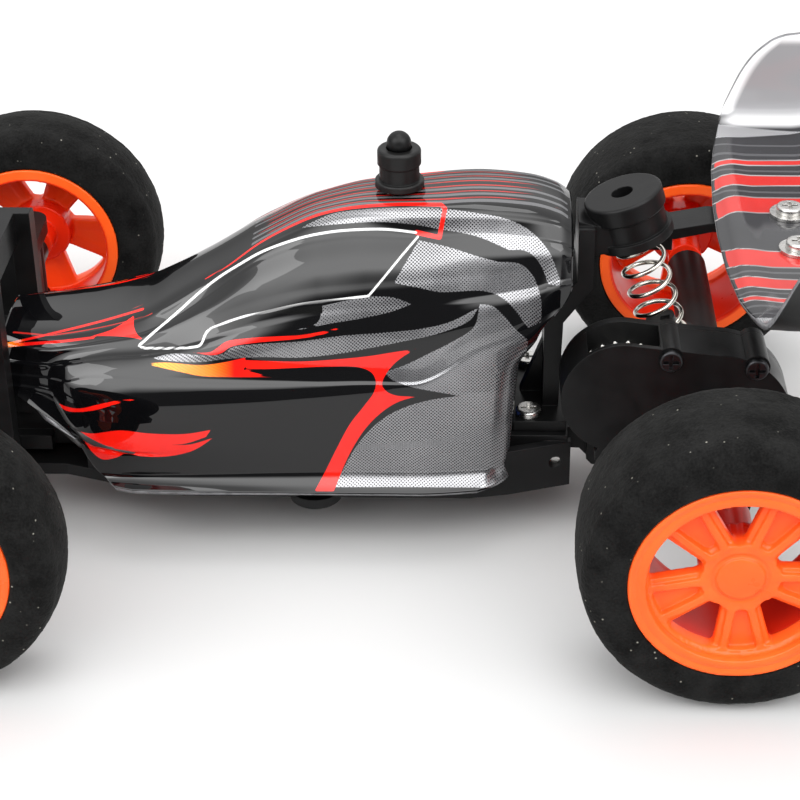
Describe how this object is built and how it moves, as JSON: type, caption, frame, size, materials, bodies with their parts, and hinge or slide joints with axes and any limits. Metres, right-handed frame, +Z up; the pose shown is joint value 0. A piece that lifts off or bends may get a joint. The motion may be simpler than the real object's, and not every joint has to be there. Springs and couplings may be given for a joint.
{
  "type": "remote control buggy car",
  "caption": "Small electric toy buggy with foam tyres on orange rims, a printed clip-on body shell, steered front wheels, sprung axles, a geared live rear axle and a rear wing.",
  "frame": {"origin": "on the ground under the middle of the wheelbase and the centre plane of the car", "axes": "+X forward to the nose, +Y to the driver's left, +Z up"},
  "size_m": [0.138, 0.0944, 0.0542],
  "materials": {
    "black_plastic": "satin black moulded plastic",
    "rubber_black": "soft black rubber",
    "screw_steel": "bright zinc or nickel plate",
    "spring_steel": "nickel plated spring wire",
    "motor_can": "plated steel can",
    "brass_bush": "sintered bronze",
    "white_plastic": "natural white nylon",
    "battery_wrap": "shrink wrapped cells",
    "board_green": "solder mask",
    "board_chips": "moulded component bodies",
    "printed_shell": "thin clear sheet printed black, silver and red, gloss",
    "printed_wing": "thin clear sheet printed black and red, gloss",
    "orange_plastic": "bright orange moulded plastic",
    "foam_tyre": "matte black foam rubber"
  },
  "bodies": {
    "chassis": {"chassis_tub": "black_plastic", "battery_pack": "battery_wrap", "battery_door": "black_plastic", "door_screw": "screw_steel", "circuit_board": "board_green", "board_parts": "board_chips", "power_switch": "black_plastic", "charge_socket": "white_plastic", "front_tower": "black_plastic", "rear_tower": "black_plastic", "bumper_and_tower_screws": "screw_steel", "rear_tower_screws": "screw_steel", "front_bumper": "black_plastic", "body_post": "black_plastic", "wing_stay": "black_plastic", "stay_screw": "screw_steel", "wing": "printed_wing", "wing_screws": "screw_steel", "wing_washers": "screw_steel", "front_pivot_pin": "screw_steel", "rear_pivot_pin": "screw_steel", "front_spring": "spring_steel", "rear_spring": "spring_steel"},
    "body_shell": {"body_shell": "printed_shell"},
    "body_clip": {"body_clip": "rubber_black"},
    "switch_knob": {"switch_knob": "black_plastic"},
    "front_carrier": {"front_beam": "black_plastic", "steering_motor": "black_plastic", "kingpins": "screw_steel"},
    "left_knuckle": {"left_knuckle": "black_plastic", "left_stub_axle": "screw_steel"},
    "right_knuckle": {"right_knuckle": "black_plastic", "right_stub_axle": "screw_steel"},
    "front_left_wheel": {"front_left_rim": "orange_plastic", "front_left_rim_centre": "orange_plastic", "front_left_tyre": "foam_tyre"},
    "front_right_wheel": {"front_right_rim": "orange_plastic", "front_right_rim_centre": "orange_plastic", "front_right_tyre": "foam_tyre"},
    "steering_link": {"steering_link": "black_plastic"},
    "servo_horn": {"servo_horn": "black_plastic"},
    "gearbox": {"gearbox_housing": "black_plastic", "gear_cover": "black_plastic", "cover_screws": "screw_steel", "drive_motor": "motor_can", "motor_end_cap": "white_plastic", "gear_pin": "screw_steel", "axle_bushings": "brass_bush"},
    "rear_wheels": {"rear_axle_shaft": "screw_steel", "axle_gear": "white_plastic", "rear_left_rim": "orange_plastic", "rear_left_rim_centre": "orange_plastic", "rear_left_tyre": "foam_tyre", "rear_right_rim": "orange_plastic", "rear_right_rim_centre": "orange_plastic", "rear_right_tyre": "foam_tyre"},
    "compound_gear": {"compound_gear": "white_plastic"},
    "motor_pinion": {"motor_pinion": "white_plastic", "motor_shaft": "screw_steel"}
  },
  "joints": [
    {"name": "front_suspension", "type": "hinge", "parent": "chassis", "child": "front_carrier", "pos_m": [0.026, 0, 0.0118], "axis": [0, -1, 0], "range_deg": [0, 5], "stiffness_Nm_per_rad": 0.1, "springref_deg": -14.32, "deforming": ["front_spring"]},
    {"name": "rear_suspension", "type": "hinge", "parent": "chassis", "child": "gearbox", "pos_m": [-0.028, 0, 0.0113], "axis": [0, 1, 0], "range_deg": [0, 7], "stiffness_Nm_per_rad": 0.12, "springref_deg": -14.32, "deforming": ["rear_spring"]},
    {"name": "shell_lift", "type": "slide", "parent": "chassis", "child": "body_shell", "axis": [0, 0, 1], "range_m": [0, 0.046]},
    {"name": "clip_pull", "type": "slide", "parent": "body_shell", "child": "body_clip", "axis": [0, 0, 1], "range_m": [0, 0.01]},
    {"name": "switch_travel", "type": "slide", "parent": "chassis", "child": "switch_knob", "axis": [1, 0, 0], "range_m": [0, 0.0022]},
    {"name": "left_steer", "type": "hinge", "parent": "front_carrier", "child": "left_knuckle", "pos_m": [0.0478, 0.03, 0.0185], "axis": [0, 0, 1], "range_deg": [-20, 20]},
    {"name": "right_steer", "type": "hinge", "parent": "front_carrier", "child": "right_knuckle", "pos_m": [0.0478, -0.03, 0.0185], "axis": [0, 0, 1], "range_deg": [-20, 20]},
    {"name": "link_travel", "type": "slide", "parent": "front_carrier", "child": "steering_link", "axis": [0, 1, 0], "range_m": [-0.0033, 0.0033]},
    {"name": "horn_turn", "type": "hinge", "parent": "front_carrier", "child": "servo_horn", "pos_m": [0.051, 0, 0.016], "axis": [0, 0, 1], "range_deg": [-32, 32]},
    {"name": "front_left_spin", "type": "hinge", "parent": "left_knuckle", "child": "front_left_wheel", "pos_m": [0.0478, 0.0411, 0.0185], "axis": [0, 1, 0], "continuous": true},
    {"name": "front_right_spin", "type": "hinge", "parent": "right_knuckle", "child": "front_right_wheel", "pos_m": [0.0478, -0.0411, 0.0185], "axis": [0, 1, 0], "continuous": true},
    {"name": "rear_spin", "type": "hinge", "parent": "gearbox", "child": "rear_wheels", "pos_m": [-0.0478, 0, 0.0185], "axis": [0, 1, 0], "continuous": true},
    {"name": "compound_spin", "type": "hinge", "parent": "gearbox", "child": "compound_gear", "pos_m": [-0.03626, 0.0085, 0.02181], "axis": [0, 1, 0], "continuous": true},
    {"name": "pinion_spin", "type": "hinge", "parent": "gearbox", "child": "motor_pinion", "pos_m": [-0.03783, 0.0098, 0.01294], "axis": [0, 1, 0], "continuous": true}
  ],
  "couplings": [
    {"joint": "right_steer", "follows": "left_steer", "ratio": 1},
    {"joint": "link_travel", "follows": "left_steer", "m_per_rad": 0.009},
    {"joint": "horn_turn", "follows": "left_steer", "ratio": 1.5},
    {"joint": "compound_spin", "follows": "rear_spin", "ratio": -2},
    {"joint": "pinion_spin", "follows": "rear_spin", "ratio": 4}
  ]
}
